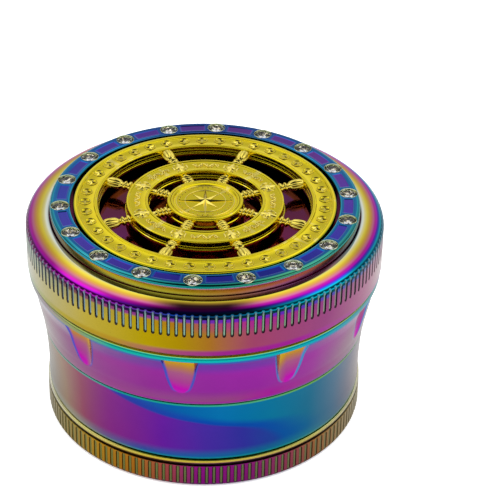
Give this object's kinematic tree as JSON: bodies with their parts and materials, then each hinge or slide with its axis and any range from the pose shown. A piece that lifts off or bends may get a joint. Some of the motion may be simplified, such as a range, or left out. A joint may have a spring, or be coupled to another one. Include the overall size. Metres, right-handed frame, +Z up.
{
  "type": "four-part herb grinder",
  "caption": "Round screw-together hand grinder with a toothed lid and chamber, a sieve section, a catch cup and a spinning ship's-wheel top set in a stone-studded ring.",
  "frame": {"origin": "centre of the bottom face of the cup", "axes": "+Z up along the common axis of all the round pieces, +X to the right and +Y away from a viewer in front"},
  "size_m": [0.063, 0.063, 0.0412],
  "materials": {
    "iridescent_cup": "polished zinc alloy with an iridescent vapour-deposited coat, mostly gold to magenta",
    "iridescent_sieve": "polished zinc alloy with an iridescent coat, mostly violet to blue",
    "iridescent_chamber": "polished zinc alloy with an iridescent coat, mostly violet to magenta",
    "iridescent_lid": "polished zinc alloy with an iridescent coat, gold to magenta",
    "iridescent_ring": "polished zinc alloy with an iridescent coat, blue with violet fields",
    "iridescent_teeth": "iridescent coat worn to silver at the tips",
    "gold_plate": "bright polished gold plate",
    "crystal": "clear cut glass with a foil back",
    "screen_wire": "woven stainless wire",
    "steel": "ground steel",
    "bearing_brass": "stamped brass",
    "nickel_magnet": "nickel-plated magnet",
    "nylon": "natural nylon"
  },
  "bodies": {
    "bottom_cup": {"bottom_cup": "iridescent_cup"},
    "screen": {"mesh_screen": "screen_wire", "screen_retaining_ring": "steel"},
    "sieve_chamber": {"sieve_chamber": "iridescent_sieve"},
    "chamber_core": {"chamber_magnet": "nickel_magnet"},
    "grinding_chamber": {"grinding_chamber": "iridescent_chamber", "chamber_teeth": "iridescent_teeth", "glide_ring": "nylon"},
    "lid_core": {"lid_magnet": "nickel_magnet"},
    "lid": {"lid_shell": "iridescent_lid", "lid_teeth": "iridescent_teeth", "stone_ring": "iridescent_ring", "rhinestones": "crystal", "axle_spacer": "steel", "bearing_inner_race": "steel", "axle_screw": "steel"},
    "bearing_cage": {"bearing_cage": "bearing_brass", "bearing_balls": "steel"},
    "wheel": {"helm_wheel": "gold_plate", "bearing_outer_race": "steel", "medallion_cap": "gold_plate"}
  },
  "joints": [
    {"name": "sieve_lift", "type": "slide", "parent": "bottom_cup", "child": "screen", "axis": [0, 0, 1], "range_m": [0, 0.0032]},
    {"name": "sieve_unscrew", "type": "hinge", "parent": "screen", "child": "sieve_chamber", "pos_m": [0, 0, 0.0057], "axis": [0, 0, 1], "range_deg": [0, 720]},
    {"name": "chamber_lift", "type": "slide", "parent": "sieve_chamber", "child": "chamber_core", "axis": [0, 0, 1], "range_m": [0, 0.0032]},
    {"name": "chamber_unscrew", "type": "hinge", "parent": "chamber_core", "child": "grinding_chamber", "pos_m": [0, 0, 0.0176], "axis": [0, 0, 1], "range_deg": [0, 720]},
    {"name": "lid_lift", "type": "slide", "parent": "grinding_chamber", "child": "lid_core", "axis": [0, 0, 1], "range_m": [0, 0.03]},
    {"name": "lid_turn", "type": "hinge", "parent": "lid_core", "child": "lid", "pos_m": [0, 0, 0.03], "axis": [0, 0, 1], "continuous": true},
    {"name": "cage_turn", "type": "hinge", "parent": "lid", "child": "bearing_cage", "pos_m": [0, 0, 0.0391], "axis": [0, 0, 1], "continuous": true},
    {"name": "wheel_spin", "type": "hinge", "parent": "lid", "child": "wheel", "pos_m": [0, 0, 0.0391], "axis": [0, 0, 1], "continuous": true}
  ],
  "couplings": [
    {"joint": "sieve_lift", "follows": "sieve_unscrew", "m_per_rad": 0.00025465},
    {"joint": "chamber_lift", "follows": "chamber_unscrew", "m_per_rad": 0.00025465},
    {"joint": "cage_turn", "follows": "wheel_spin", "ratio": 0.58889}
  ]
}
